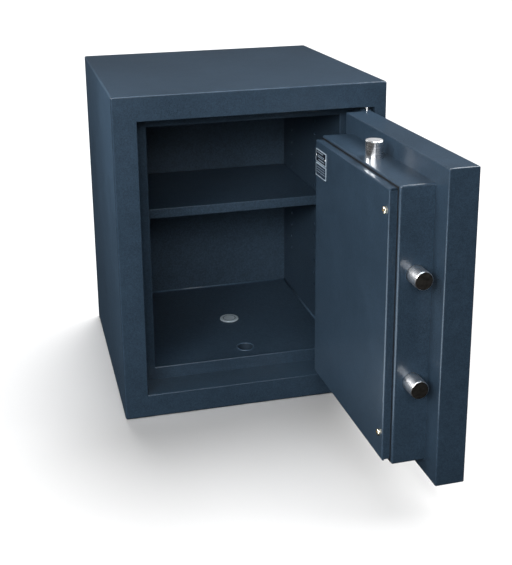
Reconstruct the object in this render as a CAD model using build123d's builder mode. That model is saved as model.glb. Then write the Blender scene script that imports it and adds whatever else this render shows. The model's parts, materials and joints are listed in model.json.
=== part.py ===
"""Free-standing security safe with a double-walled cabinet, a recessed door hung on pivot pins,
key-locked boltwork, one shelf and two floor anchor holes.  Millimetres, +Z up, front towards -Y,
origin at the centre of the base.  The door is drawn shut in its rebate and is swung open about its
hinge axis before it is saved, so the saved pose has the door open and the bolts thrown."""
from build123d import *
import os
from math import sin, cos, radians

os.makedirs("parts", exist_ok=True)

# ---------------------------------------------------------------- driving dimensions
WIDTH, DEPTH, HEIGHT = 410.0, 405.0, 500.0
YF = -DEPTH / 2                     # front plane of the cabinet
YB = DEPTH / 2                      # back plane
SKIN = 4.0                          # outer sheet
EDGE_R = 3.0                        # outer edge radius

STILE = 35.5                        # front frame, each side
RAIL_B, RAIL_T = 36.5, 37.5         # front frame, bottom and top
FRAME_T = 6.0                       # front frame plate
JAMB_T = 5.0                        # rebate wall
REBATE = 50.0                       # depth of the rebate
STEP = 20.0                         # how far the inner step stands in from the rebate
STEP_T = 5.5                        # step plate

OPEN_X = WIDTH / 2 - STILE          # half width of the door opening
OPEN_ZB, OPEN_ZT = RAIL_B, HEIGHT - RAIL_T
STEP_X = OPEN_X - STEP
STEP_ZB, STEP_ZT = OPEN_ZB + STEP, OPEN_ZT - STEP

LINER_T = 3.0
ROOM_X = STEP_X + 5.0               # half width of the inner compartment
ROOM_ZB, ROOM_ZT = 50.0, STEP_ZT + 5.0
ROOM_YF, ROOM_YB = YF + REBATE + STEP_T, YF + 368.0

SHELF_TOP, SHELF_LIP, SHELF_T, SHELF_FRONT = 284.0, 16.0, 2.0, YF + 152.0
PEG_R, PEG_PITCH = 2.5, 22.5
PEG_Y = (YF + 185.0, YF + 318.0)
ANCHOR_X, ANCHOR_Y = 8.0, (YF + 98.0, YF + 214.6)
ANCHOR_R, SLEEVE_RI, SLEEVE_RO = 8.0, 13.0, 15.0

GAP_X, GAP_ZB, GAP_ZT = 4.0, 4.5, 4.5
SLAB_X = OPEN_X - GAP_X             # half width of the door slab
SLAB_ZB, SLAB_ZT = OPEN_ZB + GAP_ZB, OPEN_ZT - GAP_ZT
RECESS = 6.0                        # slab face behind the frame face when shut
SLAB_T = 40.0
YD = YF + RECESS                    # outer face of the slab
YS = YD + SLAB_T                    # inner face of the slab

CASE_XL, CASE_XR = -132.5, 141.5    # bolt case, free side and hinge side
CASE_ZB, CASE_ZT = SLAB_ZB + 19.0, SLAB_ZT - 26.0
CASE_T, CASE_D = 3.0, 45.5
YC = YS + CASE_D                    # inner face of the bolt case
COVER_XL, COVER_XR = -126.0, 136.5
COVER_ZB, COVER_ZT = CASE_ZB + 4.0, CASE_ZT - 4.5
COVER_T, COVER_D, COVER_GAP, COVER_IN = 2.0, 11.0, 1.3, 2.6
YK = YC + COVER_D                   # face of the lock cover

PIVOT_X, PIVOT_Y = SLAB_X + 12.0, YF + 8.0
PIN_R, LUG_R, LUG_H = 4.0, 6.5, 30.0
DOOR_OPEN = 91.0                    # door angle of the saved pose

BOLT_R, BOLT_Y, THROW = 12.0, YF + 68.0, 24.35
BOLT_Z = (318.5, 174.5)
TOP_BOLT_X, TOP_THROW = 4.5, 23.0
FIT = 0.06                          # radial running clearance

SPIN_X, SPIN_Z, SPIN_R = 4.5, 296.0, 6.0
CRANK_R, CRANK_HALF = 20.0, 37.5    # crank pin radius and half of the handle's turn
CAM_Y0, CAM_Y1 = YF + 50.0, YF + 56.0
LINK_Y0, LINK_Y1 = YF + 56.5, YF + 61.5
TLINK_Y0, TLINK_Y1 = YF + 62.0, YF + 67.0
PINC_R, SLOT_W = 3.0, 7.0

KEY_X, KEY_Z, ROTOR_R = 4.5, 206.0, 5.0
LOCK_X0, LOCK_X1, LOCK_Z0, LOCK_Z1 = -34.5, 45.5, 171.0, 246.0
LOCK_D = 18.0
LBOLT_X0, LBOLT_X1 = 6.0, 16.0

bodies_out = []


def save(obj, name, door=False):
    """Label one node, swing it with the door if it hangs on the door, and write it."""
    shape = obj.part
    if door:
        shape = shape.rotate(Axis((PIVOT_X, PIVOT_Y, 0), (0, 0, 1)), DOOR_OPEN)
    shape.label = name
    export_step(shape, "parts/" + name + ".step")
    bodies_out.append((name, shape))


def front(y):
    """Sketch plane facing the front at depth y: sketch x is +X, sketch y is +Z, extrude goes to +Y."""
    return Plane(origin=(0, y, 0), x_dir=(1, 0, 0), z_dir=(0, -1, 0))


def mid(a, b):
    return (a + b) / 2


# ================================================================ cabinet
# outer wrap: top and both sides folded from one sheet
with BuildPart() as body_wrap:
    with BuildSketch(front(YB)):
        with Locations((0, HEIGHT / 2)):
            RectangleRounded(WIDTH, HEIGHT, EDGE_R)
        with Locations((0, mid(0, HEIGHT - SKIN))):
            Rectangle(WIDTH - 2 * SKIN, HEIGHT - SKIN, mode=Mode.SUBTRACT)
    extrude(amount=DEPTH - FRAME_T)
    fillet(body_wrap.faces().filter_by(Axis.Y).sort_by(Axis.Y)[-1].edges().group_by(Axis.Z)[-1], EDGE_R - 0.5)
save(body_wrap, "body_wrap")

# base plate between the side sheets, with the anchor bolt holes
with BuildPart() as base_plate:
    with BuildSketch(Plane.XY):
        with Locations((0, FRAME_T / 2)):
            Rectangle(WIDTH - 2 * SKIN, DEPTH - FRAME_T)
        with Locations(*[(ANCHOR_X, y) for y in ANCHOR_Y]):
            Circle(ANCHOR_R, mode=Mode.SUBTRACT)
    extrude(amount=SKIN)
save(base_plate, "base_plate")

# back sheet, welded inside the wrap
with BuildPart() as back_plate:
    with BuildSketch(front(YB)):
        with Locations((0, HEIGHT / 2)):
            Rectangle(WIDTH - 2 * SKIN, HEIGHT - 2 * SKIN)
    extrude(amount=SKIN)
save(back_plate, "back_plate")

# front frame: face plate, rebate walls and the solid hinge blocks at the right
with BuildPart() as front_frame:
    with BuildSketch(front(YF + FRAME_T)):
        with Locations((0, HEIGHT / 2)):
            RectangleRounded(WIDTH, HEIGHT, EDGE_R)
    extrude(amount=FRAME_T)
    fillet(front_frame.faces().sort_by(Axis.Y)[0].outer_wire().edges(), EDGE_R - 0.5)
    with BuildSketch(front(YF + REBATE)):
        with Locations((0, mid(OPEN_ZB, OPEN_ZT))):
            Rectangle(2 * (OPEN_X + JAMB_T), OPEN_ZT - OPEN_ZB + 2 * JAMB_T)
    extrude(amount=REBATE - FRAME_T)
    for z0, z1 in ((OPEN_ZB - 10.0, SLAB_ZB + LUG_H + 6.0), (SLAB_ZT - LUG_H - 6.0, OPEN_ZT + 11.0)):
        with BuildSketch(Plane.XY.offset(z0)):
            with Locations((mid(OPEN_X, PIVOT_X + 13.5), YF + 10.5)):
                Rectangle(PIVOT_X + 13.5 - OPEN_X, 19.0)
        extrude(amount=z1 - z0)
    with BuildSketch(front(YF + REBATE)):
        with Locations((0, mid(OPEN_ZB, OPEN_ZT))):
            Rectangle(2 * OPEN_X, OPEN_ZT - OPEN_ZB)
    extrude(amount=REBATE, mode=Mode.SUBTRACT)
    fillet(front_frame.faces().sort_by(Axis.Y)[0].inner_wires()[0].edges(), 1.2)
    # notches that the hinge lugs turn in
    for z0, z1 in ((OPEN_ZB, SLAB_ZB + LUG_H + 1.5), (SLAB_ZT - LUG_H - 1.5, OPEN_ZT)):
        with BuildSketch(Plane.XY.offset(z0)):
            with Locations((mid(OPEN_X, PIVOT_X + 9.0), mid(YF, PIVOT_Y + 7.5))):
                Rectangle(PIVOT_X + 9.0 - OPEN_X, PIVOT_Y + 7.5 - YF)
        extrude(amount=z1 - z0, mode=Mode.SUBTRACT)
    # pin sockets above and below the notches
    for z0 in (OPEN_ZB - 7.0, OPEN_ZT):
        with BuildSketch(Plane.XY.offset(z0)):
            with Locations((PIVOT_X, PIVOT_Y)):
                Circle(PIN_R + FIT)
        extrude(amount=7.0, mode=Mode.SUBTRACT)
save(front_frame, "front_frame")

# step plate that the bolts catch behind
with BuildPart() as step_ring:
    with BuildSketch(front(YF + REBATE + STEP_T)):
        with Locations((0, mid(OPEN_ZB, OPEN_ZT))):
            Rectangle(2 * (OPEN_X + JAMB_T), OPEN_ZT - OPEN_ZB + 2 * JAMB_T)
            Rectangle(2 * STEP_X, STEP_ZT - STEP_ZB, mode=Mode.SUBTRACT)
    extrude(amount=STEP_T)
    fillet(step_ring.faces().sort_by(Axis.Y)[0].inner_wires()[0].edges(), 1.8)
save(step_ring, "step_ring")

# inner liner: roof and sides of folded sheet with peg holes and bolt pockets
POCKET_R = 14.0
CUP_T, CUP_D = 1.5, 12.0
with BuildPart() as liner_wrap:
    with BuildSketch(front(ROOM_YB)):
        with Locations((0, mid(ROOM_ZB - LINER_T, ROOM_ZT + LINER_T))):
            Rectangle(2 * (ROOM_X + LINER_T), ROOM_ZT - ROOM_ZB + 2 * LINER_T)
        with Locations((0, mid(ROOM_ZB - LINER_T, ROOM_ZT))):
            Rectangle(2 * ROOM_X, ROOM_ZT - ROOM_ZB + LINER_T, mode=Mode.SUBTRACT)
    extrude(amount=ROOM_YB - ROOM_YF)
    for side in (-1, 1):
        with BuildSketch(Plane.YZ.offset(side * (ROOM_X + LINER_T / 2))):
            for y in PEG_Y:
                with Locations(*[(y, 111.5 + PEG_PITCH * i) for i in range(14)]):
                    Circle(PEG_R)
        extrude(amount=LINER_T, both=True, mode=Mode.SUBTRACT)
    with BuildSketch(Plane.YZ.offset(-ROOM_X - LINER_T)):
        with Locations(*[(BOLT_Y, z) for z in BOLT_Z]):
            Circle(POCKET_R)
    extrude(amount=LINER_T, mode=Mode.SUBTRACT)
    with BuildSketch(Plane.XY.offset(ROOM_ZT)):
        with Locations((TOP_BOLT_X, BOLT_Y)):
            Circle(POCKET_R)
    extrude(amount=LINER_T, mode=Mode.SUBTRACT)
save(liner_wrap, "liner_wrap")

# compartment floor, let in between the liner's sides
with BuildPart() as liner_floor:
    with BuildSketch(Plane.XY.offset(ROOM_ZB - LINER_T)):
        with Locations((0, mid(ROOM_YF, ROOM_YB))):
            Rectangle(2 * ROOM_X, ROOM_YB - ROOM_YF)
        with Locations(*[(ANCHOR_X, y) for y in ANCHOR_Y]):
            Circle(SLEEVE_RO, mode=Mode.SUBTRACT)
    extrude(amount=LINER_T)
save(liner_floor, "liner_floor")

with BuildPart() as liner_back:
    with BuildSketch(front(ROOM_YB + LINER_T)):
        with Locations((0, mid(ROOM_ZB, ROOM_ZT))):
            Rectangle(2 * (ROOM_X + LINER_T), ROOM_ZT - ROOM_ZB + 2 * LINER_T)
    extrude(amount=LINER_T)
save(liner_back, "liner_back")

# strike cups: closed sockets in the filling that the bolt tips enter
with BuildPart() as strike_cups:
    with BuildSketch(Plane.YZ.offset(-ROOM_X - LINER_T - CUP_D)):
        with Locations(*[(BOLT_Y, z) for z in BOLT_Z]):
            Circle(POCKET_R + CUP_T)
    extrude(amount=CUP_D)
    with BuildSketch(Plane.XY.offset(ROOM_ZT + LINER_T)):
        with Locations((TOP_BOLT_X, BOLT_Y)):
            Circle(POCKET_R + CUP_T)
    extrude(amount=CUP_D)
    with BuildSketch(Plane.YZ.offset(-ROOM_X - LINER_T - CUP_D + CUP_T)):
        with Locations(*[(BOLT_Y, z) for z in BOLT_Z]):
            Circle(POCKET_R)
    extrude(amount=CUP_D, mode=Mode.SUBTRACT)
    with BuildSketch(Plane.XY.offset(ROOM_ZT)):
        with Locations((TOP_BOLT_X, BOLT_Y)):
            Circle(POCKET_R)
    extrude(amount=LINER_T + CUP_D - CUP_T, mode=Mode.SUBTRACT)
    # flat where the cups stand against the step plate
    with BuildSketch(front(ROOM_YF)):
        with Locations((0, HEIGHT / 2)):
            Rectangle(WIDTH, HEIGHT)
    extrude(amount=20.0, mode=Mode.SUBTRACT)
save(strike_cups, "strike_cups")

# anchor sleeves through the bottom of the filling, flush with the compartment floor
with BuildPart() as anchor_sleeves:
    with BuildSketch(Plane.XY.offset(SKIN)):
        with Locations(*[(ANCHOR_X, y) for y in ANCHOR_Y]):
            Circle(SLEEVE_RO)
            Circle(SLEEVE_RI, mode=Mode.SUBTRACT)
    extrude(amount=ROOM_ZB - SKIN)
save(anchor_sleeves, "anchor_sleeves")

# plastic blanking cap in the rear anchor hole
with BuildPart() as anchor_cap:
    with BuildSketch(Plane.XY.offset(ROOM_ZB)):
        with Locations((ANCHOR_X, ANCHOR_Y[1])):
            Circle(16.0)
    extrude(amount=1.8)
    fillet(anchor_cap.faces().sort_by(Axis.Z)[-1].edges(), 1.0)
    with BuildSketch(Plane.XY.offset(ROOM_ZB + 1.2)):
        with Locations((ANCHOR_X, ANCHOR_Y[1])):
            Circle(11.5)
            Circle(10.3, mode=Mode.SUBTRACT)
    extrude(amount=1.0, mode=Mode.SUBTRACT)
    with BuildSketch(Plane.XY.offset(ROOM_ZB - 10.0)):
        with Locations((ANCHOR_X, ANCHOR_Y[1])):
            Circle(SLEEVE_RI - 0.2)
            Circle(SLEEVE_RI - 2.0, mode=Mode.SUBTRACT)
    extrude(amount=10.0)
save(anchor_cap, "anchor_cap")

# barrier filling cast between the skins
with BuildPart() as barrier_fill:
    with BuildSketch(front(YB - SKIN)):
        with Locations((0, HEIGHT / 2)):
            Rectangle(WIDTH - 2 * SKIN, HEIGHT - 2 * SKIN)
    extrude(amount=DEPTH - SKIN - FRAME_T)
    with BuildSketch(front(YF + REBATE + STEP_T)):
        with Locations((0, mid(OPEN_ZB, OPEN_ZT))):
            Rectangle(2 * (OPEN_X + JAMB_T), OPEN_ZT - OPEN_ZB + 2 * JAMB_T)
    extrude(amount=REBATE + STEP_T, mode=Mode.SUBTRACT)
    with BuildSketch(front(ROOM_YB + LINER_T)):
        with Locations((0, mid(ROOM_ZB, ROOM_ZT))):
            Rectangle(2 * (ROOM_X + LINER_T), ROOM_ZT - ROOM_ZB + 2 * LINER_T)
    extrude(amount=ROOM_YB + LINER_T - YF, mode=Mode.SUBTRACT)
    for z0, z1 in ((OPEN_ZB - 10.0, SLAB_ZB + LUG_H + 6.0), (SLAB_ZT - LUG_H - 6.0, OPEN_ZT + 11.0)):
        with BuildSketch(Plane.XY.offset(z0)):
            with Locations((mid(OPEN_X, PIVOT_X + 13.5), YF + 10.5)):
                Rectangle(PIVOT_X + 13.5 - OPEN_X, 19.0)
        extrude(amount=z1 - z0, mode=Mode.SUBTRACT)
    with BuildSketch(Plane.YZ.offset(-ROOM_X - LINER_T - CUP_D)):
        with Locations(*[(BOLT_Y, z) for z in BOLT_Z]):
            Circle(POCKET_R + CUP_T)
    extrude(amount=CUP_D + 1.0, mode=Mode.SUBTRACT)
    with BuildSketch(Plane.XY.offset(ROOM_ZT)):
        with Locations((TOP_BOLT_X, BOLT_Y)):
            Circle(POCKET_R + CUP_T)
    extrude(amount=LINER_T + CUP_D, mode=Mode.SUBTRACT)
    with BuildSketch(Plane.XY.offset(SKIN)):
        with Locations(*[(ANCHOR_X, y) for y in ANCHOR_Y]):
            Circle(SLEEVE_RO)
    extrude(amount=ROOM_ZB, mode=Mode.SUBTRACT)
    # clearance behind the peg holes
    for side in (-1, 1):
        with BuildSketch(Plane.YZ.offset(side * (ROOM_X + LINER_T + 3.0))):
            for y in PEG_Y:
                with Locations((y, 111.5 + PEG_PITCH * 6.5)):
                    Rectangle(8.0, PEG_PITCH * 13 + 8.0)
        extrude(amount=3.0, both=True, mode=Mode.SUBTRACT)
save(barrier_fill, "barrier_fill")

# shelf with a folded front lip
with BuildPart() as shelf:
    with BuildSketch(Plane.XY.offset(SHELF_TOP - SHELF_T)):
        with Locations((0, mid(SHELF_FRONT, ROOM_YB - 2.0))):
            Rectangle(2 * ROOM_X - 3.0, ROOM_YB - 2.0 - SHELF_FRONT)
    extrude(amount=SHELF_T)
    with BuildSketch(Plane.XY.offset(SHELF_TOP - SHELF_LIP)):
        with Locations((0, SHELF_FRONT + SHELF_T / 2)):
            Rectangle(2 * ROOM_X - 3.0, SHELF_T)
    extrude(amount=SHELF_LIP)
    with BuildSketch(Plane.XY.offset(SHELF_TOP - 12.0)):
        with Locations((0, ROOM_YB - 2.0 - SHELF_T / 2)):
            Rectangle(2 * ROOM_X - 3.0, SHELF_T)
    extrude(amount=12.0)
    fillet(shelf.edges().filter_by(Axis.X).group_by(Axis.Z)[-1].sort_by(Axis.Y)[0], 1.5)
    fillet(shelf.edges().filter_by(Axis.X).group_by(Axis.Z)[0].sort_by(Axis.Y)[0], 0.8)
save(shelf, "shelf")

# shelf clips: a peg in the liner and a flat tongue under the shelf
CLIP_Z = 111.5 + PEG_PITCH * 7
with BuildPart() as shelf_clips:
    for side in (-1, 1):
        with BuildSketch(Plane.YZ.offset(side * ROOM_X)):
            with Locations(*[(y, CLIP_Z) for y in PEG_Y]):
                Circle(PEG_R - 0.15)
        extrude(amount=side * 5.0)
        with BuildSketch(Plane.YZ.offset(side * ROOM_X)):
            with Locations(*[(y, SHELF_TOP - SHELF_T - 6.0) for y in PEG_Y]):
                Rectangle(9.0, 12.0)
        extrude(amount=-side * 1.4)
        with BuildSketch(Plane.XY.offset(SHELF_TOP - SHELF_T - 2.0)):
            with Locations(*[(side * (ROOM_X - 6.0), y) for y in PEG_Y]):
                Rectangle(12.0, 9.0)
        extrude(amount=2.0)
save(shelf_clips, "shelf_clips")

# thrust washer that carries the door
with BuildPart() as thrust_washer:
    with BuildSketch(Plane.XY.offset(OPEN_ZB)):
        with Locations((PIVOT_X, PIVOT_Y)):
            Circle(LUG_R)
            Circle(PIN_R + 0.1, mode=Mode.SUBTRACT)
    extrude(amount=GAP_ZB - 0.1)
save(thrust_washer, "thrust_washer")

# ================================================================ door (drawn shut)
PAN_T, PAN_F, BACK_T = 5.0, 6.0, 4.0
BUSH_RO, TUBE_RO = 9.0, 8.0
with BuildPart() as door_pan:
    with BuildSketch(front(YS - BACK_T)):
        with Locations((0, mid(SLAB_ZB, SLAB_ZT))):
            Rectangle(2 * SLAB_X, SLAB_ZT - SLAB_ZB)
    extrude(amount=SLAB_T - BACK_T)
    fillet(door_pan.edges().filter_by(Axis.Y), 2.0)
    fillet(door_pan.faces().sort_by(Axis.Y)[0].outer_wire().edges(), 2.0)
    with BuildSketch(front(YS - BACK_T)):
        with Locations((0, mid(SLAB_ZB, SLAB_ZT))):
            Rectangle(2 * (SLAB_X - PAN_T), SLAB_ZT - SLAB_ZB - 2 * PAN_T)
    extrude(amount=SLAB_T - BACK_T - PAN_F, mode=Mode.SUBTRACT)
    with BuildSketch(front(YS)):
        with Locations((SPIN_X, SPIN_Z)):
            Circle(BUSH_RO + 0.2)
        with Locations((KEY_X, KEY_Z)):
            Circle(TUBE_RO + 0.2)
    extrude(amount=SLAB_T, mode=Mode.SUBTRACT)
save(door_pan, "door_pan", True)

with BuildPart() as door_back_sheet:
    with BuildSketch(front(YS)):
        with Locations((0, mid(SLAB_ZB, SLAB_ZT))):
            Rectangle(2 * SLAB_X, SLAB_ZT - SLAB_ZB)
    extrude(amount=BACK_T)
    fillet(door_back_sheet.edges().filter_by(Axis.Y), 2.0)
    fillet(door_back_sheet.faces().sort_by(Axis.Y)[-1].outer_wire().edges(), 1.8)
    with BuildSketch(front(YS)):
        with Locations((SPIN_X, SPIN_Z)):
            Circle(BUSH_RO + 0.2)
        with Locations((KEY_X, KEY_Z)):
            Circle(TUBE_RO + 0.2)
    extrude(amount=BACK_T, mode=Mode.SUBTRACT)
save(door_back_sheet, "door_back_sheet", True)

HP_X0, HP_X1, HP_Z0, HP_Z1, HP_T = -60.0, 66.0, 150.0, 340.0, 6.0
with BuildPart() as hard_plate:
    with BuildSketch(front(YS - BACK_T)):
        with Locations((mid(HP_X0, HP_X1), mid(HP_Z0, HP_Z1))):
            Rectangle(HP_X1 - HP_X0, HP_Z1 - HP_Z0)
        with Locations((SPIN_X, SPIN_Z)):
            Circle(BUSH_RO + 0.2, mode=Mode.SUBTRACT)
        with Locations((KEY_X, KEY_Z)):
            Circle(TUBE_RO + 0.2, mode=Mode.SUBTRACT)
    extrude(amount=HP_T)
save(hard_plate, "hard_plate", True)

with BuildPart() as door_fill:
    with BuildSketch(front(YS - BACK_T)):
        with Locations((0, mid(SLAB_ZB, SLAB_ZT))):
            Rectangle(2 * (SLAB_X - PAN_T), SLAB_ZT - SLAB_ZB - 2 * PAN_T)
        with Locations((SPIN_X, SPIN_Z)):
            Circle(BUSH_RO + 0.2, mode=Mode.SUBTRACT)
        with Locations((KEY_X, KEY_Z)):
            Circle(TUBE_RO + 0.2, mode=Mode.SUBTRACT)
    extrude(amount=SLAB_T - BACK_T - PAN_F)
    with BuildSketch(front(YS - BACK_T)):
        with Locations((mid(HP_X0, HP_X1), mid(HP_Z0, HP_Z1))):
            Rectangle(HP_X1 - HP_X0, HP_Z1 - HP_Z0)
    extrude(amount=HP_T, mode=Mode.SUBTRACT)
save(door_fill, "door_fill", True)

# bolt case: pressed box on the inner face, with a service opening under the lock cover
CASE_R = 3.0
with BuildPart() as bolt_case:
    with BuildSketch(front(YC)):
        with Locations((mid(CASE_XL, CASE_XR), mid(CASE_ZB, CASE_ZT))):
            Rectangle(CASE_XR - CASE_XL, CASE_ZT - CASE_ZB)
    extrude(amount=CASE_D)
    fillet(bolt_case.edges().filter_by(Axis.Y), CASE_R)
    fillet(bolt_case.faces().sort_by(Axis.Y)[-1].outer_wire().edges(), CASE_R - 0.5)
    with BuildSketch(front(YC - 2 * CASE_T)):
        with Locations((mid(CASE_XL, CASE_XR), mid(CASE_ZB, CASE_ZT))):
            Rectangle(CASE_XR - CASE_XL - 2 * CASE_T, CASE_ZT - CASE_ZB - 2 * CASE_T)
    extrude(amount=CASE_D - 2 * CASE_T, mode=Mode.SUBTRACT)
    # recess that the lock cover drops into, and the service opening in its ledge
    with BuildSketch(front(YC)):
        with Locations((mid(COVER_XL, COVER_XR), mid(COVER_ZB, COVER_ZT))):
            Rectangle(COVER_XR - COVER_XL + 2 * COVER_GAP, COVER_ZT - COVER_ZB + 2 * COVER_GAP)
    extrude(amount=CASE_T, mode=Mode.SUBTRACT)
    with BuildSketch(front(YC)):
        with Locations((4.0, mid(CASE_ZB, CASE_ZT))):
            Rectangle(228.0, 322.0)
    extrude(amount=2 * CASE_T, mode=Mode.SUBTRACT)
    with BuildSketch(Plane.YZ.offset(CASE_XL)):
        with Locations(*[(BOLT_Y, z) for z in BOLT_Z]):
            Circle(BOLT_R + 0.4)
    extrude(amount=CASE_T, mode=Mode.SUBTRACT)
    with BuildSketch(Plane.XY.offset(CASE_ZT - CASE_T)):
        with Locations((TOP_BOLT_X, BOLT_Y)):
            Circle(BOLT_R + 0.4)
    extrude(amount=CASE_T, mode=Mode.SUBTRACT)
    with BuildSketch(front(YC)):
        with Locations((-114.5, 398.0), (-114.5, 99.0)):
            Circle(2.7)
    extrude(amount=2 * CASE_T, mode=Mode.SUBTRACT)
save(bolt_case, "bolt_case", True)

# guide bushes of the three bolts, inside the case walls
with BuildPart() as bolt_bushes:
    with BuildSketch(Plane.YZ.offset(CASE_XL + CASE_T)):
        with Locations(*[(BOLT_Y, z) for z in BOLT_Z]):
            Circle(BOLT_R + 5.0)
            Circle(BOLT_R + FIT, mode=Mode.SUBTRACT)
    extrude(amount=12.0)
    with BuildSketch(Plane.XY.offset(CASE_ZT - CASE_T)):
        with Locations((TOP_BOLT_X, BOLT_Y)):
            Circle(BOLT_R + 5.0)
            Circle(BOLT_R + FIT, mode=Mode.SUBTRACT)
    extrude(amount=-12.0)
save(bolt_bushes, "bolt_bushes", True)

# lock cover: shallow folded pan with relieved corners
with BuildPart() as lock_cover:
    with BuildSketch(front(YK)):
        with Locations((mid(COVER_XL, COVER_XR), mid(COVER_ZB, COVER_ZT))):
            Rectangle(COVER_XR - COVER_XL, COVER_ZT - COVER_ZB)
    extrude(amount=COVER_D + COVER_IN)
    fillet(lock_cover.faces().sort_by(Axis.Y)[-1].outer_wire().edges(), 2.0)
    with BuildSketch(front(YK - COVER_T)):
        with Locations((mid(COVER_XL, COVER_XR), mid(COVER_ZB, COVER_ZT))):
            Rectangle(COVER_XR - COVER_XL - 2 * COVER_T, COVER_ZT - COVER_ZB - 2 * COVER_T)
    extrude(amount=COVER_D + COVER_IN, mode=Mode.SUBTRACT)
    with BuildSketch(front(YK - 3.0)):
        with Locations(*[(x, z) for x in (COVER_XL, COVER_XR) for z in (COVER_ZB, COVER_ZT)]):
            Rectangle(5.0, 5.0)
    extrude(amount=COVER_D + COVER_IN, mode=Mode.SUBTRACT)
    with BuildSketch(front(YK)):
        with Locations((-114.5, 398.0), (-114.5, 99.0)):
            Circle(2.7)
    extrude(amount=COVER_T, mode=Mode.SUBTRACT)
save(lock_cover, "lock_cover", True)

with BuildPart() as cover_screws:
    with BuildSketch(front(YK)):
        with Locations((-114.5, 398.0), (-114.5, 99.0)):
            Circle(2.5)
    extrude(amount=COVER_D + 8.0)
    with BuildSketch(front(YK + 2.6)):
        with Locations((-114.5, 398.0), (-114.5, 99.0)):
            Circle(4.7)
    extrude(amount=2.6)
    fillet(cover_screws.faces().group_by(Axis.Y)[-1].edges(), 1.8)
    # cross recess
    with BuildSketch(front(YK + 2.6)):
        with Locations((-114.5, 398.0), (-114.5, 99.0)):
            Rectangle(4.6, 1.0)
            Rectangle(1.0, 4.6)
    extrude(amount=1.4, mode=Mode.SUBTRACT)
save(cover_screws, "cover_screws", True)

# rating plate and serial plate with two rivets
with BuildPart() as rating_plate:
    with BuildSketch(front(YK + 0.6)):
        with Locations((113.5, 406.5)):
            RectangleRounded(42.0, 19.0, 1.0)
    extrude(amount=0.6)
save(rating_plate, "rating_plate", True)

with BuildPart() as serial_plate:
    with BuildSketch(front(YK + 0.6)):
        with Locations((113.5, 386.0)):
            RectangleRounded(42.0, 19.0, 1.0)
    extrude(amount=0.6)
save(serial_plate, "serial_plate", True)

with BuildPart() as plate_rivets:
    with BuildSketch(front(YK + 1.5)):
        with Locations((131.7, 406.5), (95.3, 406.5)):
            Circle(1.6)
    extrude(amount=0.9)
    fillet(plate_rivets.faces().group_by(Axis.Y)[-1].edges(), 0.6)
save(plate_rivets, "plate_rivets", True)

# hinge lugs welded to the slab's end, with their pins
with BuildPart() as hinge_lugs:
    for z0 in (SLAB_ZB, SLAB_ZT - LUG_H):
        with BuildSketch(Plane.XY.offset(z0)):
            with Locations((PIVOT_X, PIVOT_Y)):
                Circle(LUG_R)
            with Locations((mid(SLAB_X, PIVOT_X), YD + 4.0)):
                Rectangle(PIVOT_X - SLAB_X, 8.0)
            with Locations((PIVOT_X, PIVOT_Y)):
                Circle(PIN_R + 0.03, mode=Mode.SUBTRACT)
        extrude(amount=LUG_H)
save(hinge_lugs, "hinge_lugs", True)

with BuildPart() as hinge_pins:
    with BuildSketch(Plane.XY.offset(SLAB_ZT - LUG_H + 1.0)):
        with Locations((PIVOT_X, PIVOT_Y)):
            Circle(PIN_R)
    extrude(amount=LUG_H + GAP_ZT + 5.0)
    with BuildSketch(Plane.XY.offset(SLAB_ZB - GAP_ZB - 6.0)):
        with Locations((PIVOT_X, PIVOT_Y)):
            Circle(PIN_R)
    extrude(amount=LUG_H + GAP_ZB + 5.0)
save(hinge_pins, "hinge_pins", True)

# dead bar on the hinge side that hooks behind the step plate
with BuildPart() as dead_bar:
    with BuildSketch(Plane.XY.offset(100.0)):
        with Locations((mid(CASE_XR, CASE_XR + 11.0), YF + 62.0)):
            Rectangle(11.0, 8.0)
    extrude(amount=290.0)
    chamfer(dead_bar.edges().filter_by(Axis.Z).group_by(Axis.X)[-1], 1.0)
save(dead_bar, "dead_bar", True)

# spindle bush through the slab
with BuildPart() as spindle_bush:
    with BuildSketch(front(CAM_Y0 - 0.5)):
        with Locations((SPIN_X, SPIN_Z)):
            Circle(BUSH_RO)
            Circle(SPIN_R + FIT, mode=Mode.SUBTRACT)
    extrude(amount=CAM_Y0 - 0.5 - YD)
save(spindle_bush, "spindle_bush", True)

with BuildPart() as handle_rose:
    with BuildSketch(front(YD)):
        with Locations((SPIN_X, SPIN_Z)):
            Circle(24.0)
            Circle(SPIN_R + 0.4, mode=Mode.SUBTRACT)
    extrude(amount=6.0)
    fillet(handle_rose.faces().sort_by(Axis.Y)[0].outer_wire().edges(), 2.5)
save(handle_rose, "handle_rose", True)

# key escutcheon with its tube through the slab
with BuildPart() as lock_escutcheon:
    with BuildSketch(front(YD)):
        with Locations((KEY_X, KEY_Z + 2.0)):
            Circle(19.0)
    extrude(amount=4.0)
    fillet(lock_escutcheon.faces().sort_by(Axis.Y)[0].outer_wire().edges(), 1.5)
    with BuildSketch(front(YS)):
        with Locations((KEY_X, KEY_Z)):
            Circle(TUBE_RO)
    extrude(amount=SLAB_T)
    with BuildSketch(front(YS)):
        with Locations((KEY_X, KEY_Z)):
            Circle(ROTOR_R + FIT)
    extrude(amount=SLAB_T + 4.0, mode=Mode.SUBTRACT)
    with BuildSketch(front(YD - 1.0)):
        with Locations((KEY_X, KEY_Z + 12.0)):
            Circle(2.0 + FIT)
    extrude(amount=3.0, mode=Mode.SUBTRACT)
save(lock_escutcheon, "lock_escutcheon", True)

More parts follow.
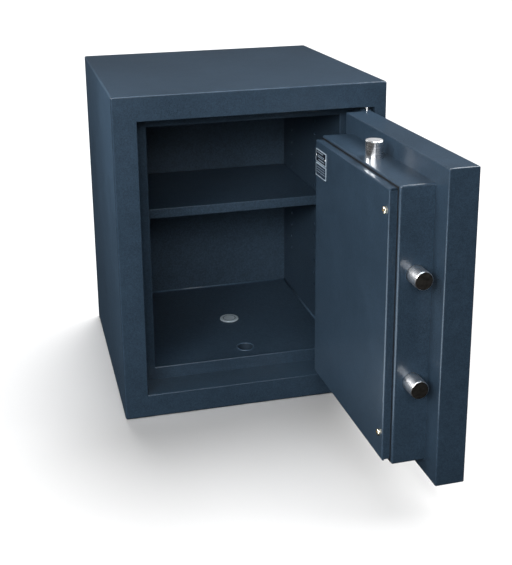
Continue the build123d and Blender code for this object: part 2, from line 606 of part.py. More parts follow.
# key lock case on the slab's inner face
with BuildPart() as lock_case:
    with BuildSketch(front(YS + LOCK_D)):
        with Locations((mid(LOCK_X0, LOCK_X1), mid(LOCK_Z0, LOCK_Z1))):
            Rectangle(LOCK_X1 - LOCK_X0, LOCK_Z1 - LOCK_Z0)
    extrude(amount=LOCK_D)
    fillet(lock_case.edges().filter_by(Axis.Y), 3.0)
    with BuildSketch(front(YS + LOCK_D - 2.5)):
        with Locations((mid(LOCK_X0, LOCK_X1), mid(LOCK_Z0, LOCK_Z1))):
            Rectangle(LOCK_X1 - LOCK_X0 - 22.0, LOCK_Z1 - LOCK_Z0 - 5.0)
    extrude(amount=LOCK_D - 5.0, mode=Mode.SUBTRACT)
    with BuildSketch(front(YS + 3.0)):
        with Locations((KEY_X, KEY_Z)):
            Circle(ROTOR_R + 0.4)
    extrude(amount=3.0, mode=Mode.SUBTRACT)
    with BuildSketch(Plane.XY.offset(LOCK_Z1 - 3.0)):
        with Locations((mid(LBOLT_X0, LBOLT_X1), YF + 52.0)):
            Rectangle(LBOLT_X1 - LBOLT_X0 + 0.4, 6.4)
    extrude(amount=4.0, mode=Mode.SUBTRACT)
    with BuildSketch(front(YS + LOCK_D)):
        with Locations(*[(x, z) for x in (LOCK_X0 + 5.5, LOCK_X1 - 5.5) for z in (LOCK_Z0 + 6.0, LOCK_Z1 - 6.0)]):
            Circle(2.3)
    extrude(amount=LOCK_D, mode=Mode.SUBTRACT)
save(lock_case, "lock_case", True)

with BuildPart() as lock_case_screws:
    with BuildSketch(front(YS + LOCK_D + 2.6)):
        with Locations(*[(x, z) for x in (LOCK_X0 + 5.5, LOCK_X1 - 5.5) for z in (LOCK_Z0 + 6.0, LOCK_Z1 - 6.0)]):
            Circle(4.0)
    extrude(amount=2.6)
    with BuildSketch(front(YS + LOCK_D)):
        with Locations(*[(x, z) for x in (LOCK_X0 + 5.5, LOCK_X1 - 5.5) for z in (LOCK_Z0 + 6.0, LOCK_Z1 - 6.0)]):
            Circle(2.1)
    extrude(amount=LOCK_D - 0.5)
    with BuildSketch(front(YS + LOCK_D + 2.6)):
        with Locations(*[(x, z) for x in (LOCK_X0 + 5.5, LOCK_X1 - 5.5) for z in (LOCK_Z0 + 6.0, LOCK_Z1 - 6.0)]):
            RegularPolygon(2.0, 6)
    extrude(amount=1.6, mode=Mode.SUBTRACT)
save(lock_case_screws, "lock_case_screws", True)

# ================================================================ boltwork (moving pieces)
BAR_X0, BAR_X1 = -78.5, -66.5
with BuildPart() as side_bolts:
    with BuildSketch(Plane.YZ.offset(CASE_XL - THROW)):
        with Locations(*[(BOLT_Y, z) for z in BOLT_Z]):
            Circle(BOLT_R)
    extrude(amount=BAR_X0 - CASE_XL + THROW)
    chamfer(side_bolts.faces().group_by(Axis.X)[0].edges(), 0.8)
save(side_bolts, "side_bolts", True)

rest = radians(CRANK_HALF)
PA_X, PA_Z = SPIN_X - CRANK_R * sin(rest), SPIN_Z + CRANK_R * cos(rest)
PB_X, PB_Z = SPIN_X + CRANK_R * cos(rest), SPIN_Z + CRANK_R * sin(rest)

with BuildPart() as carriage:
    with BuildSketch(Plane.XY.offset(161.0)):
        with Locations((mid(BAR_X0, BAR_X1), BOLT_Y)):
            Rectangle(BAR_X1 - BAR_X0, 24.0)
    extrude(amount=172.0)
    # link to the crank pin, with its upright slot
    with BuildSketch(front(LINK_Y1)):
        with Locations((mid(BAR_X1 - 1.0, PA_X + 9.0), 314.5)):
            Rectangle(PA_X + 9.0 - BAR_X1 + 1.0, 21.0)
        with Locations((PA_X, mid(PA_Z, SPIN_Z + CRANK_R))):
            SlotOverall(SPIN_Z + CRANK_R - PA_Z + SLOT_W + 0.6, SLOT_W, rotation=90, mode=Mode.SUBTRACT)
    extrude(amount=LINK_Y1 - LINK_Y0)
    # arm and lug that the lock bolt blocks
    with BuildSketch(front(LINK_Y1)):
        with Locations((mid(BAR_X1 - 1.0, 5.0), 252.0)):
            Rectangle(5.0 - BAR_X1 + 1.0, 10.0)
    extrude(amount=LINK_Y1 - LINK_Y0)
    with BuildSketch(front(LINK_Y0)):
        with Locations((-0.75, 252.0)):
            Rectangle(11.5, 10.0)
    extrude(amount=7.5)
save(carriage, "carriage", True)

with BuildPart() as top_bolt:
    with BuildSketch(Plane.XY.offset(371.0)):
        with Locations((TOP_BOLT_X, BOLT_Y)):
            Circle(BOLT_R)
    extrude(amount=CASE_ZT + TOP_THROW - 371.0)
    chamfer(top_bolt.faces().sort_by(Axis.Z)[-1].edges(), 0.8)
save(top_bolt, "top_bolt", True)

with BuildPart() as top_link:
    with BuildSketch(front(TLINK_Y1)):
        with Locations((mid(-5.5, 32.5), mid(PB_Z - 10.0, 371.0))):
            Rectangle(38.0, 371.0 - PB_Z + 10.0)
        with Locations((mid(PB_X, SPIN_X + CRANK_R), PB_Z)):
            SlotOverall(SPIN_X + CRANK_R - PB_X + SLOT_W + 0.6, SLOT_W, mode=Mode.SUBTRACT)
    extrude(amount=TLINK_Y1 - TLINK_Y0)
save(top_link, "top_link", True)

with BuildPart() as cam_plate:
    with BuildSketch(front(CAM_Y1)):
        with Locations((SPIN_X, SPIN_Z)):
            Circle(28.0)
            Circle(SPIN_R + 0.03, mode=Mode.SUBTRACT)
    extrude(amount=CAM_Y1 - CAM_Y0)
    with BuildSketch(front(LINK_Y1 - 0.2)):
        with Locations((PA_X, PA_Z)):
            Circle(PINC_R)
    extrude(amount=LINK_Y1 - 0.2 - CAM_Y1)
    with BuildSketch(front(TLINK_Y1)):
        with Locations((PB_X, PB_Z)):
            Circle(PINC_R)
    extrude(amount=TLINK_Y1 - CAM_Y1)
save(cam_plate, "cam_plate", True)

with BuildPart() as spindle:
    with BuildSketch(front(YF + 60.5)):
        with Locations((SPIN_X, SPIN_Z)):
            Circle(SPIN_R)
    extrude(amount=60.5 + 18.0)
save(spindle, "spindle", True)

# bar handle: hub with two equal arms
with BuildPart() as handle:
    with BuildSketch(front(YD - 6.3)):
        with Locations((SPIN_X, SPIN_Z)):
            Circle(14.0)
    extrude(amount=26.0)
    with BuildSketch(Plane.XY.offset(SPIN_Z - 56.0)):
        with Locations((SPIN_X, YF - 33.0)):
            RectangleRounded(17.0, 17.0, 5.0)
    extrude(amount=112.0)
    fillet(handle.faces().filter_by(Axis.Z).sort_by(Axis.Z)[-1].edges(), 4.0)
    fillet(handle.faces().filter_by(Axis.Z).sort_by(Axis.Z)[0].edges(), 4.0)
    with BuildSketch(front(YD)):
        with Locations((SPIN_X, SPIN_Z)):
            Circle(SPIN_R + 0.03)
    extrude(amount=6.0 + 18.2, mode=Mode.SUBTRACT)
save(handle, "handle", True)

# key rotor with its keyway and a driving bit inside the lock
with BuildPart() as key_rotor:
    with BuildSketch(front(YF + 60.0)):
        with Locations((KEY_X, KEY_Z)):
            Circle(ROTOR_R)
    extrude(amount=57.5)
    with BuildSketch(front(YF + 22.0)):
        with Locations((KEY_X, KEY_Z)):
            Rectangle(2.4, 7.4)
    extrude(amount=22.0, mode=Mode.SUBTRACT)
    with BuildSketch(front(YF + 60.0)):
        with Locations((KEY_X + 5.5, KEY_Z)):
            Rectangle(9.0, 3.0)
    extrude(amount=4.0)
save(key_rotor, "key_rotor", True)

with BuildPart() as lock_bolt:
    with BuildSketch(Plane.XY.offset(216.0)):
        with Locations((mid(LBOLT_X0, LBOLT_X1), YF + 52.0)):
            Rectangle(LBOLT_X1 - LBOLT_X0, 6.0)
    extrude(amount=29.0)
save(lock_bolt, "lock_bolt", True)

# drop-shaped cover that hangs over the keyhole
with BuildPart() as keyhole_cover:
    with BuildSketch(front(YD - 4.2)) as drop:
        with Locations((KEY_X, KEY_Z)):
            Circle(9.0)
        with Locations((KEY_X, KEY_Z + 12.0)):
            Circle(5.0)
        make_hull()
    extrude(amount=2.4)
    fillet(keyhole_cover.faces().sort_by(Axis.Y)[0].outer_wire().edges(), 0.8)
    with BuildSketch(front(YD - 1.4)):
        with Locations((KEY_X, KEY_Z + 12.0)):
            Circle(2.0)
    extrude(amount=2.8)
save(keyhole_cover, "keyhole_cover", True)
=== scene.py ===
import bpy, bmesh, json, math
from mathutils import Vector, Matrix


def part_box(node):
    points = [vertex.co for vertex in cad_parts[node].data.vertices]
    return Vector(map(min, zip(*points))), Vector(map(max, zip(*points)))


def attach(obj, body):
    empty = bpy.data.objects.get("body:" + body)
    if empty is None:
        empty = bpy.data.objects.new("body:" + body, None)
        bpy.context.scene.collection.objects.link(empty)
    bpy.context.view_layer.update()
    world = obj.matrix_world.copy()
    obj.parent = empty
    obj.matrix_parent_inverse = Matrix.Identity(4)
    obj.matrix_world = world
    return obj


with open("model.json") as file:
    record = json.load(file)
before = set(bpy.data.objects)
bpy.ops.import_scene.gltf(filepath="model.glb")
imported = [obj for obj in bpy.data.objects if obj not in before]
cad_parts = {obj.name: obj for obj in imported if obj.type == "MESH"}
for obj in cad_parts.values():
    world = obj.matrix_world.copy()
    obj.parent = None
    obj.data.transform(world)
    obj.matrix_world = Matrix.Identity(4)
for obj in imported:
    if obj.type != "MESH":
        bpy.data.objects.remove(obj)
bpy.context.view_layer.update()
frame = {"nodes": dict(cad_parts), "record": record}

# ------------------------------------------------------------------ helpers
D = bpy.data
NODES = [n for b in frame["record"]["behaviour"]["bodies"].values() for n in b]


def new_material(name):
    m = D.materials.new(name)
    m.use_nodes = True
    nt = m.node_tree
    nt.nodes.clear()
    out = nt.nodes.new("ShaderNodeOutputMaterial")
    bsdf = nt.nodes.new("ShaderNodeBsdfPrincipled")
    nt.links.new(bsdf.outputs[0], out.inputs[0])
    return m, nt, bsdf


def node(nt, kind, **vals):
    n = nt.nodes.new(kind)
    for k, v in vals.items():
        if k in n.inputs:
            n.inputs[k].default_value = v
        else:
            setattr(n, k, v)
    return n


def coords(nt):
    return nt.nodes.new("ShaderNodeTexCoord").outputs["Object"]


def noise(nt, vec, scale, detail=3.0, rough=0.55, distortion=0.0):
    n = node(nt, "ShaderNodeTexNoise", Scale=scale, Detail=detail, Roughness=rough, Distortion=distortion)
    nt.links.new(vec, n.inputs["Vector"])
    return n.outputs["Fac"]


def ramp(nt, fac, stops):
    r = nt.nodes.new("ShaderNodeValToRGB")
    r.color_ramp.elements[0].position, r.color_ramp.elements[0].color = stops[0][0], (*stops[0][1], 1)
    r.color_ramp.elements[1].position, r.color_ramp.elements[1].color = stops[-1][0], (*stops[-1][1], 1)
    for p, c in stops[1:-1]:
        e = r.color_ramp.elements.new(p)
        e.color = (*c, 1)
    nt.links.new(fac, r.inputs[0])
    return r.outputs[0]


def maprange(nt, fac, a, b, lo, hi):
    m = node(nt, "ShaderNodeMapRange")
    m.inputs["From Min"].default_value, m.inputs["From Max"].default_value = a, b
    m.inputs["To Min"].default_value, m.inputs["To Max"].default_value = lo, hi
    nt.links.new(fac, m.inputs["Value"])
    return m.outputs["Result"]


def math_node(nt, op, a, b=None):
    m = node(nt, "ShaderNodeMath", operation=op)
    for i, v in enumerate((a, b)):
        if v is None:
            continue
        if isinstance(v, (int, float)):
            m.inputs[i].default_value = v
        else:
            nt.links.new(v, m.inputs[i])
    return m.outputs[0]


def mixrgb(nt, fac, a, b, blend="MIX"):
    m = node(nt, "ShaderNodeMix", data_type="RGBA", blend_type=blend)
    if isinstance(fac, (int, float)):
        m.inputs[0].default_value = fac
    else:
        nt.links.new(fac, m.inputs[0])
    for i, v in ((6, a), (7, b)):
        if isinstance(v, tuple):
            m.inputs[i].default_value = (*v, 1)
        else:
            nt.links.new(v, m.inputs[i])
    return m.outputs[2]


def bump(nt, bsdf, layers):
    """layers: (height socket, distance in metres, strength)."""
    prev = None
    for h, dist, strength in layers:
        b = node(nt, "ShaderNodeBump", Strength=strength, Distance=dist)
        nt.links.new(h, b.inputs["Height"])
        if prev is not None:
            nt.links.new(prev, b.inputs["Normal"])
        prev = b.outputs[0]
    nt.links.new(prev, bsdf.inputs["Normal"])


# ------------------------------------------------------------------ materials
def powder_coat(name, base, light=1.0, rough=0.42, spec=0.5, grain=1.0, mottle=1.0, coat=0.35):
    """Fine-texture powder coat: orange-peel bump, faint mottling, scuffs."""
    m, nt, b = new_material(name)
    v = coords(nt)
    big = noise(nt, v, 7.0, 4.0, 0.6)
    mid = noise(nt, v, 60.0, 3.0, 0.55)
    fine = noise(nt, v, 900.0, 2.0, 0.6)
    c0 = tuple(x * light * 0.90 for x in base)
    c1 = tuple(x * light * 1.10 for x in base)
    col = ramp(nt, big, [(0.30, c0), (0.70, c1)])
    col = mixrgb(nt, 0.16, col, ramp(nt, mid, [(0.3, tuple(x * 0.6 for x in base)), (0.7, tuple(x * 1.5 for x in base))]))
    speck = ramp(nt, fine, [(0.40, (0.80, 0.80, 0.80)), (0.60, (1.16, 1.16, 1.16))])
    col = mixrgb(nt, 1.0, col, speck, "MULTIPLY")
    peel = noise(nt, v, 330.0, 3.0, 0.6)
    d = 0.11 * mottle
    col = mixrgb(nt, 1.0, col, ramp(nt, peel, [(0.36, (1 - d, 1 - d, 1 - d)), (0.64, (1 + d, 1 + d, 1 + d))]), "MULTIPLY")
    # light scuffs and dust marks, thin and sparse
    mp = nt.nodes.new("ShaderNodeMapping")
    mp.inputs["Scale"].default_value = (9.0, 9.0, 90.0)
    mp.inputs["Rotation"].default_value = (0.5, 0.9, 0.3)
    nt.links.new(v, mp.inputs[0])
    scuff = noise(nt, mp.outputs[0], 5.0, 5.0, 0.7, 0.4)
    smask = maprange(nt, scuff, 0.70, 0.76, 0.0, 0.35)
    col = mixrgb(nt, smask, col, tuple(x * 2.0 for x in base))
    nt.links.new(col, b.inputs["Base Color"])
    r = math_node(nt, "ADD", maprange(nt, big, 0.3, 0.7, rough - 0.03, rough + 0.03), maprange(nt, fine, 0.3, 0.7, -0.04, 0.04))
    r = math_node(nt, "ADD", r, math_node(nt, "MULTIPLY", smask, 0.3))
    nt.links.new(r, b.inputs["Roughness"])
    b.inputs["Specular IOR Level"].default_value = spec
    b.inputs["Coat Weight"].default_value = coat
    b.inputs["Coat Roughness"].default_value = 0.16
    bump(nt, b, [(peel, 0.00035 * grain, 0.35), (fine, 0.00016 * grain, 0.45), (big, 0.004, 0.02)])
    return m


def metal(name, c, rough, var=0.05, grain_scale=(1.0, 1.0, 1.0), grain=0.25, end_axis=None, end_col=None, end_rough=0.55, spots=0.0):
    """Bare metal; the grain noise is stretched along one axis, and faces along end_axis can be matt."""
    m, nt, b = new_material(name)
    v = coords(nt)
    mp = nt.nodes.new("ShaderNodeMapping")
    mp.inputs["Scale"].default_value = grain_scale
    nt.links.new(v, mp.inputs[0])
    g = noise(nt, mp.outputs[0], 900.0, 4.0, 0.7)
    big = noise(nt, v, 90.0, 4.0, 0.6)
    lo, hi = tuple(x * (1 - var) for x in c), tuple(min(1, x * (1 + var)) for x in c)
    col = ramp(nt, g, [(0.35, lo), (0.65, hi)])
    if spots:
        col = mixrgb(nt, maprange(nt, big, 0.55, 0.75, 0.0, spots), col, tuple(x * 0.55 for x in c))
    r = math_node(nt, "ADD", maprange(nt, g, 0.3, 0.7, rough * 0.75, rough * 1.25), maprange(nt, big, 0.3, 0.7, -0.02, 0.03))
    if end_axis is not None:
        tc = nt.nodes.new("ShaderNodeTexCoord")
        dot = node(nt, "ShaderNodeVectorMath", operation="DOT_PRODUCT")
        nt.links.new(tc.outputs["Normal"], dot.inputs[0])
        dot.inputs[1].default_value = end_axis
        mask = maprange(nt, dot.outputs["Value"], 0.93, 0.985, 0.0, 1.0)
        turned = noise(nt, v, 260.0, 3.0, 0.6)
        ecol = ramp(nt, turned, [(0.3, tuple(x * 0.75 for x in end_col)), (0.7, tuple(x * 1.25 for x in end_col))])
        col = mixrgb(nt, mask, col, ecol)
        er = maprange(nt, turned, 0.3, 0.7, end_rough - 0.06, end_rough + 0.06)
        mx = node(nt, "ShaderNodeMix", data_type="FLOAT")
        nt.links.new(mask, mx.inputs[0]); nt.links.new(r, mx.inputs[2]); nt.links.new(er, mx.inputs[3])
        r = mx.outputs[0]
    nt.links.new(col, b.inputs["Base Color"])
    nt.links.new(r, b.inputs["Roughness"])
    b.inputs["Metallic"].default_value = 1.0
    bump(nt, b, [(g, 0.00006, grain), (big, 0.0003, 0.05)])
    return m


def plastic(name, c, rough, spec=0.5):
    m, nt, b = new_material(name)
    v = coords(nt)
    n1, n2 = noise(nt, v, 40.0, 3.0), noise(nt, v, 1100.0, 2.0)
    nt.links.new(ramp(nt, n1, [(0.3, tuple(x * 0.9 for x in c)), (0.7, tuple(x * 1.1 for x in c))]), b.inputs["Base Color"])
    nt.links.new(maprange(nt, n2, 0.3, 0.7, rough - 0.05, rough + 0.07), b.inputs["Roughness"])
    b.inputs["Specular IOR Level"].default_value = spec
    bump(nt, b, [(n2, 0.0001, 0.3)])
    return m


def cast(name, c):
    m, nt, b = new_material(name)
    v = coords(nt)
    n1, n2 = noise(nt, v, 30.0, 6.0, 0.7), noise(nt, v, 400.0, 4.0, 0.7)
    nt.links.new(ramp(nt, n1, [(0.3, tuple(x * 0.75 for x in c)), (0.7, tuple(x * 1.2 for x in c))]), b.inputs["Base Color"])
    nt.links.new(maprange(nt, n2, 0.3, 0.7, 0.85, 0.98), b.inputs["Roughness"])
    bump(nt, b, [(n1, 0.002, 0.4), (n2, 0.0005, 0.5)])
    return m


PAINT = (0.0245, 0.0430, 0.0665)
paint = powder_coat("paint_body", PAINT, 1.0, 0.33, 0.24)
# interior paint made 1.25 times lighter than the body paint: painted light that lifts the shaded interior
room_paint_painted_light = powder_coat("room_paint_painted_light", PAINT, 1.25, 0.42, 0.30, 1.8, 1.7, 0.1)
A = math.radians(91.0)
end_side = (-math.cos(A), -math.sin(A), 0.0)
# the side bolts' end faces get a near-black brown colour: painted shade for the dark these faces reflect
bolt_side = metal("bolt_side", (0.84, 0.84, 0.85), 0.30, 0.04, (0.03, 1.6, 0.03), 1.0, end_side, (0.085, 0.078, 0.070), 0.5)
bolt_top = metal("bolt_top", (0.84, 0.84, 0.85), 0.24, 0.04, (0.03, 0.03, 1.6), 0.8, (0, 0, 1), (0.30, 0.30, 0.31), 0.42)
steel = metal("plain_steel", (0.42, 0.42, 0.43), 0.38, 0.10, (1, 1, 0.15), 0.3, spots=0.5)
pin_steel = metal("pin_steel", (0.72, 0.72, 0.72), 0.2, 0.05, (6, 6, 0.25), 0.2)
zinc = metal("yellow_zinc", (0.78, 0.68, 0.50), 0.24, 0.10, (1, 1, 1), 0.2, spots=0.3)
satin = metal("satin_chrome", (0.62, 0.62, 0.63), 0.26, 0.05, (6, 6, 0.4), 0.2)
brass = metal("turned_brass", (0.70, 0.52, 0.26), 0.3, 0.08, (1, 1, 1), 0.2, spots=0.3)
foil = metal("plate_metal", (0.62, 0.64, 0.66), 0.38, 0.06, (1, 8, 8), 0.25)
cap = plastic("cap_plastic", (0.36, 0.43, 0.48), 0.42)
sleeve = plastic("sleeve_grey", (0.020, 0.034, 0.052), 0.55, 0.25)
# near-black material for the strip in the lock cover's gap: painted shade
gap_shade_black = plastic("black_gap_shade", (0.004, 0.004, 0.005), 0.6)
fill = cast("barrier_mix", (0.42, 0.41, 0.38))

border = plastic("plate_border", (0.30, 0.37, 0.43), 0.4)
look = {
    "paint": (paint, "body_wrap base_plate back_plate front_frame step_ring door_pan door_back_sheet bolt_case lock_cover hinge_lugs"),
    "room": (room_paint_painted_light, "liner_wrap liner_floor liner_back shelf"),
    "bolt_side": (bolt_side, "side_bolts"),
    "bolt_top": (bolt_top, "top_bolt"),
    "pins": (pin_steel, "hinge_pins plate_rivets thrust_washer"),
    "steel": (steel, "strike_cups hard_plate dead_bar carriage top_link cam_plate spindle lock_case shelf_clips"),
    "zinc": (zinc, "cover_screws lock_case_screws"),
    "satin": (satin, "handle handle_rose lock_escutcheon keyhole_cover"),
    "brass": (brass, "key_rotor lock_bolt spindle_bush bolt_bushes"),
    "foil": (border, "rating_plate serial_plate"),
    "sleeve": (sleeve, "anchor_sleeves"),
    "cap": (cap, "anchor_cap"),
    "fill": (fill, "barrier_fill door_fill"),
}
done = set()
for mat, names in look.values():
    for n in names.split():
        o = frame["nodes"][n]
        if not o.material_slots:
            o.data.materials.append(mat)
        for s in o.material_slots:
            s.material = mat
        done.add(n)
missing = set(NODES) - done
assert not missing, missing

# ------------------------------------------------------------------ small pieces on the door
YF = -0.2025
PIVOT = Vector((0.1775, YF + 0.008, 0.0))
SWING = Matrix.Translation(PIVOT) @ Matrix.Rotation(A, 4, "Z") @ Matrix.Translation(-PIVOT)
YK = YF + 0.1025                       # face of the lock cover when shut


def add_mesh(name, bm, mat, body, smooth=False):
    me = D.meshes.new(name)
    bm.to_mesh(me)
    bm.free()
    for p in me.polygons:
        p.use_smooth = smooth
    me.materials.append(mat)
    o = D.objects.new(name, me)
    bpy.context.scene.collection.objects.link(o)
    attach(o, body)
    return o


def plate_prints(name, items, mat, y0, y1, body="door"):
    """Raised print on a data plate: thin blocks (x0, x1, z0, z1) in millimetres, door shut."""
    bm = bmesh.new()
    for x0, x1, z0, z1 in items:
        r = bmesh.ops.create_cube(bm, size=1.0)
        for v in r["verts"]:
            v.co = Vector(((x0 + x1) / 2000 + v.co.x * (x1 - x0) / 1000, (y0 + y1) / 2 + v.co.y * (y1 - y0), (z0 + z1) / 2000 + v.co.z * (z1 - z0) / 1000))
    bmesh.ops.bevel(bm, geom=bm.edges[:], offset=0.00004, segments=1, affect="EDGES")
    bm.transform(SWING)
    return add_mesh(name, bm, mat, body)


ink = plastic("plate_ink", (0.004, 0.006, 0.011), 0.5, 0.06)
ink2 = plastic("plate_ink_blue", (0.016, 0.026, 0.042), 0.5, 0.08)
mark = plastic("plate_mark", (0.22, 0.28, 0.34), 0.45, 0.3)
yp = YK + 0.0006
plate_prints("rating_field", [(94.2, 132.8, 398.4, 414.6)], ink, yp, yp + 0.00012)
plate_prints("serial_field", [(94.2, 132.8, 378.0, 394.0)], ink2, yp, yp + 0.00012)
rows = [(104.0, 128.0, 411.6, 412.8), (100.0, 127.0, 407.3, 408.3), (102.0, 127.0, 405.0, 406.0), (99.0, 123.0, 400.9, 402.2)]
plate_prints("rating_rows", rows, mark, yp + 0.0001, yp + 0.0002)
rows = [(97.0, 130.0, 390.0, 390.8), (97.0, 130.0, 386.4, 387.2), (97.0, 130.0, 382.8, 383.6)]
plate_prints("serial_rows", rows, mark, yp + 0.0001, yp + 0.0002)



def frame_strip(name, x0, x1, z0, z1, w, y0, y1, mat, body="door"):
    """A rectangular ring of four blocks, w wide, in door-shut millimetres, y from y0 to y1 in metres."""
    bm = bmesh.new()
    for a0, a1, c0, c1 in ((x0, x1, z0, z0 + w), (x0, x1, z1 - w, z1), (x0, x0 + w, z0 + w, z1 - w), (x1 - w, x1, z0 + w, z1 - w)):
        r = bmesh.ops.create_cube(bm, size=1.0)
        for v in r["verts"]:
            v.co = Vector(((a0 + a1) / 2000 + v.co.x * (a1 - a0) / 1000, (y0 + y1) / 2 + v.co.y * (y1 - y0), (c0 + c1) / 2000 + v.co.z * (c1 - c0) / 1000))
    if body == "door":
        bm.transform(SWING)
    return add_mesh(name, bm, mat, body)


# near-black strip in the gap round the lock cover, a thin lip on the case's face: painted shade for the dark gap
YC = YF + 0.0915
frame_strip("cover_gap_shade_strip", -128.3, 138.8, 61.7, 429.8, 3.0, YC + 0.00002, YC + 0.0004, gap_shade_black)


def bead(name, p, q, r, side_a, side_b, mat):
    """A bead along an inner corner from p to q: a concave strip with eight facets."""
    bm = bmesh.new()
    a, b = Vector(side_a), Vector(side_b)
    rings = []
    for end in (Vector(p), Vector(q)):
        ring = [bm.verts.new(end)]
        for i in range(9):
            t = math.radians(90 * i / 8)
            ring.append(bm.verts.new(end + a * r * (1 - math.sin(t)) + b * r * (1 - math.cos(t))))
        rings.append(ring)
    n = len(rings[0])
    for i in range(n):
        j = (i + 1) % n
        bm.faces.new((rings[0][i], rings[0][j], rings[1][j], rings[1][i]))
    bm.faces.new(rings[0]); bm.faces.new(rings[1][::-1])
    bmesh.ops.recalc_face_normals(bm, faces=bm.faces[:])
    return add_mesh(name, bm, mat, "cabinet", True)


# the corner beads and the anchor rim use the body paint made 2.6 times lighter: painted highlight along these edges
bead_highlight_paint = powder_coat("paint_painted_highlight", PAINT, 2.6, 0.30, 0.5, 2.0)
W2, YB, ZF, YS = 0.1545, YF + 0.368, 0.050, YF + 0.060
bead("seam_back", (-W2, YB, ZF), (W2, YB, ZF), 0.0022, (0, -1, 0), (0, 0, 1), bead_highlight_paint)
bead("seam_right", (W2, YS, ZF), (W2, YB, ZF), 0.0022, (-1, 0, 0), (0, 0, 1), bead_highlight_paint)
bead("seam_left", (-W2, YS, ZF), (-W2, YB, ZF), 0.0022, (1, 0, 0), (0, 0, 1), bead_highlight_paint)



def ring(name, centre, major, minor, mat, body, slot, squash_z=1.0):
    """A thin round bead lying flat."""
    bm = bmesh.new()
    n, m = 48, 10
    vs = [[bm.verts.new((centre[0] + (major + minor * math.cos(2 * math.pi * j / m)) * math.cos(2 * math.pi * i / n),
                         centre[1] + (major + minor * math.cos(2 * math.pi * j / m)) * math.sin(2 * math.pi * i / n),
                         centre[2] + squash_z * minor * math.sin(2 * math.pi * j / m))) for j in range(m)] for i in range(n)]
    for i in range(n):
        for j in range(m):
            bm.faces.new((vs[i][j], vs[(i + 1) % n][j], vs[(i + 1) % n][(j + 1) % m], vs[i][(j + 1) % m]))
    bmesh.ops.recalc_face_normals(bm, faces=bm.faces[:])
    return add_mesh(name, bm, mat, body, True)


# light ring round the anchor hole in the same lightened paint: painted highlight on the rim
ring("anchor_rim", (0.008, YF + 0.098, 0.0502), 0.0140, 0.0011, bead_highlight_paint, "cabinet", "liner", 0.7)
cap_lo, cap_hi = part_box("anchor_cap")
cap_r = (cap_hi.x - cap_lo.x) / 2
ring("cap_rim", ((cap_lo.x + cap_hi.x) / 2, (cap_lo.y + cap_hi.y) / 2, cap_hi.z - 0.0001), cap_r * 0.66, 0.0009, plastic("cap_shadow", (0.10, 0.13, 0.15), 0.5), "cabinet", "cap_plastic", 0.5)

# ------------------------------------------------------------------ floor, light and camera
bm = bmesh.new()
bmesh.ops.create_grid(bm, x_segments=1, y_segments=1, size=30.0)
me = D.meshes.new("studio_floor"); bm.to_mesh(me); bm.free()
floor = D.objects.new("studio_floor", me)
bpy.context.scene.collection.objects.link(floor)
floor.location.z = -0.0003
fm, nt, b = new_material("floor_white")
v = coords(nt)
nt.links.new(ramp(nt, noise(nt, v, 3.0, 2.0), [(0.3, (0.86, 0.86, 0.86)), (0.7, (0.88, 0.88, 0.88))]), b.inputs["Base Color"])
b.inputs["Roughness"].default_value = 0.9
b.inputs["Specular IOR Level"].default_value = 0.1
me.materials.append(fm)

world = D.worlds.new("studio")
bpy.context.scene.world = world
world.use_nodes = True
bg = world.node_tree.nodes["Background"]
wnt = world.node_tree
sky = wnt.nodes.new("ShaderNodeTexCoord")
sep = wnt.nodes.new("ShaderNodeSeparateXYZ")
wnt.links.new(sky.outputs["Generated"], sep.inputs[0])
wnt.links.new(ramp(wnt, maprange(wnt, sep.outputs["Z"], -1.0, 1.0, 0.0, 1.0), [(0.40, (0.012,) * 3), (0.55, (0.055,) * 3), (1.0, (0.10,) * 3)]), bg.inputs[0])
bg.inputs[1].default_value = 1.0


def area(name, loc, target, size, power, color=(1, 1, 1)):
    l = D.lights.new(name, "AREA")
    l.shape = "RECTANGLE"
    l.size, l.size_y = size
    l.energy = power
    l.color = color
    o = D.objects.new(name, l)
    bpy.context.scene.collection.objects.link(o)
    o.location = loc
    o.rotation_mode = "QUATERNION"
    o.rotation_quaternion = (Vector(target) - Vector(loc)).to_track_quat("-Z", "Y")
    o.visible_camera = False
    return o


# LIGHTS
# The floor's own lights give the soft grounded shadow; the softboxes light the object only.
floor_only = D.collections.new("floor_only")
floor_only.objects.link(floor)
not_floor = D.collections.new("not_floor")
not_floor.objects.link(floor)
not_floor.collection_objects[0].light_linking.link_state = "EXCLUDE"
floor.visible_glossy = False
floor.visible_diffuse = False


def sun(name, frm, angle, energy):
    l = D.lights.new(name, "SUN")
    l.energy, l.angle = energy, math.radians(angle)
    o = D.objects.new(name, l)
    bpy.context.scene.collection.objects.link(o)
    o.location = Vector(frm) * 3
    o.rotation_mode = "QUATERNION"
    o.rotation_quaternion = Vector(frm).to_track_quat("Z", "Y")
    o.light_linking.receiver_collection = floor_only
    return o


def box_light(name, loc, target, size, power):
    o = area(name, loc, target, size, power)
    o.light_linking.receiver_collection = not_floor
    return o


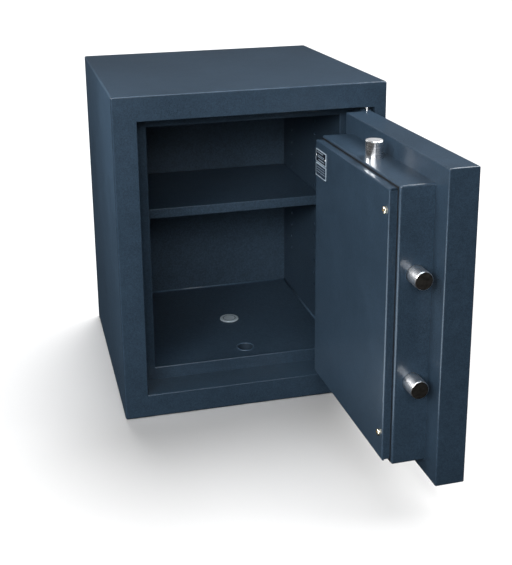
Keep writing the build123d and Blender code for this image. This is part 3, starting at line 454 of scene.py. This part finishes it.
sun("ground_key", (0.15, 0.35, 1.0), 30, 0.95)
key = sun("ground_key_wide", (0.15, 0.35, 1.0), 30, 1.56)
no_door = D.collections.new("no_door")
for body, names in frame["record"]["behaviour"]["bodies"].items():
    if body != "cabinet":
        for n in names:
            no_door.objects.link(frame["nodes"][n])
for item in no_door.collection_objects:
    item.light_linking.link_state = "EXCLUDE"
key.light_linking.blocker_collection = no_door
sun("ground_front", (0.0, -1.0, 0.7), 40, 0.60)
sun("ground_left", (-1.0, -0.2, 0.7), 40, 1.50)
sun("ground_right", (1.0, 0.1, 0.7), 40, 1.67)
AIM = (0.0, -0.15, 0.25)
soft = box_light("left_box", (-2.4, -0.3, 1.2), AIM, (1.2, 1.8), 27.0)
soft.visible_glossy = False
for name, loc, power in (("back_fill", (0.5, 2.8, 1.3), 26.0), ("right_fill", (2.7, 0.4, 1.2), 14.0)):
    fill_light = box_light(name, loc, AIM, (1.4, 1.2), power)
    fill_light.visible_glossy = False
box_light("left_back_box", (-1.8, 1.6, 1.4), AIM, (1.2, 1.6), 17.0)
box_light("front_left_box", (-1.1, -2.6, 1.3), AIM, (1.4, 1.0), 35.0)
box_light("front_left_small", (-1.5, -1.8, 1.3), AIM, (0.6, 0.6), 25.0)
box_light("near_left", (-0.75, -0.35, 1.0), (0.1, -0.2, 0.35), (0.3, 0.3), 4.2)
wrap_only = D.collections.new("wrap_only")
wrap_only.objects.link(frame["nodes"]["body_wrap"])
o = area("side_fill", (-0.65, -0.35, 0.60), (-0.205, -0.14, 0.44), (0.3, 0.2), 5.4)
o.light_linking.receiver_collection = wrap_only
o.visible_glossy = False
box_light("near_front", (-0.2, -1.9, 1.25), (0.0, 0.0, 0.3), (0.5, 0.5), 8.6)
box_light("near_right_top", (0.75, -0.25, 1.2), (0.1, -0.15, 0.48), (0.5, 0.5), 18.0)
box_light("back_box", (0.2, 2.0, 2.2), AIM, (2.2, 1.6), 2.0)
metal_only = D.collections.new("metal_only")
for n in "side_bolts top_bolt cover_screws hinge_pins handle handle_rose lock_escutcheon keyhole_cover".split():
    metal_only.objects.link(frame["nodes"][n])
o = area("metal_box", (0.55, 1.6, 1.75), (0.25, -0.55, 0.32), (2.4, 1.3), 22)
o.light_linking.receiver_collection = metal_only
o = area("metal_left", (-1.2, 0.15, 1.0), (0.12, -0.5, 0.3), (0.5, 0.7), 30)
o.light_linking.receiver_collection = metal_only
card = area("floor_card", (-0.60, -0.68, 0.004), (-0.60, -0.68, 1.0), (1.0, 1.0), 16)
card.visible_camera = False
card.visible_diffuse = False
card.data.color = (0.78, 0.90, 1.0)
door_only = D.collections.new("door_only")
for n in frame["record"]["behaviour"]["bodies"]["door"]:
    door_only.objects.link(frame["nodes"][n])
card.light_linking.receiver_collection = door_only
card = area("top_card", (0.1, -1.0, 2.2), (0.0, -0.2, 0.2), (1.0, 1.0), 20)
card.visible_diffuse = False
card.data.color = (0.78, 0.90, 1.0)
card.light_linking.receiver_collection = not_floor
# END LIGHTS
scene = bpy.context.scene
scene.view_settings.view_transform = "Standard"
scene.view_settings.look = "None"
scene.view_settings.exposure = 0.0

# camera: position and turn in the object's frame
F_PX, CX, CY = 962.75, 226.0, 169.5
PITCH, YAW, ROLL = math.radians(-15.31), math.radians(-12.84), math.radians(1.01)
CAM = Vector((-0.34241, -1.52073, 0.75378))
Rz = Matrix.Rotation(YAW, 3, "Z")
Rx = Matrix.Rotation(PITCH, 3, "X")
Ry = Matrix.Rotation(ROLL, 3, "Y")
R = Rz @ Rx @ Ry                        # columns: right, forward, up
right, fwd, up = (R.col[i] for i in range(3))
cam_data = D.cameras.new("cam")
cam = D.objects.new("cam", cam_data)
bpy.context.scene.collection.objects.link(cam)
M = Matrix((right, up, -fwd)).transposed().to_4x4()
M.translation = CAM
cam.matrix_world = M
cam_data.sensor_width = 36.0
cam_data.lens = F_PX / 565.0 * 36.0
cam_data.shift_x = (256.0 - CX) / 565.0
cam_data.shift_y = (CY - 282.5) / 565.0
cam_data.clip_end = 100.0
scene.camera = cam
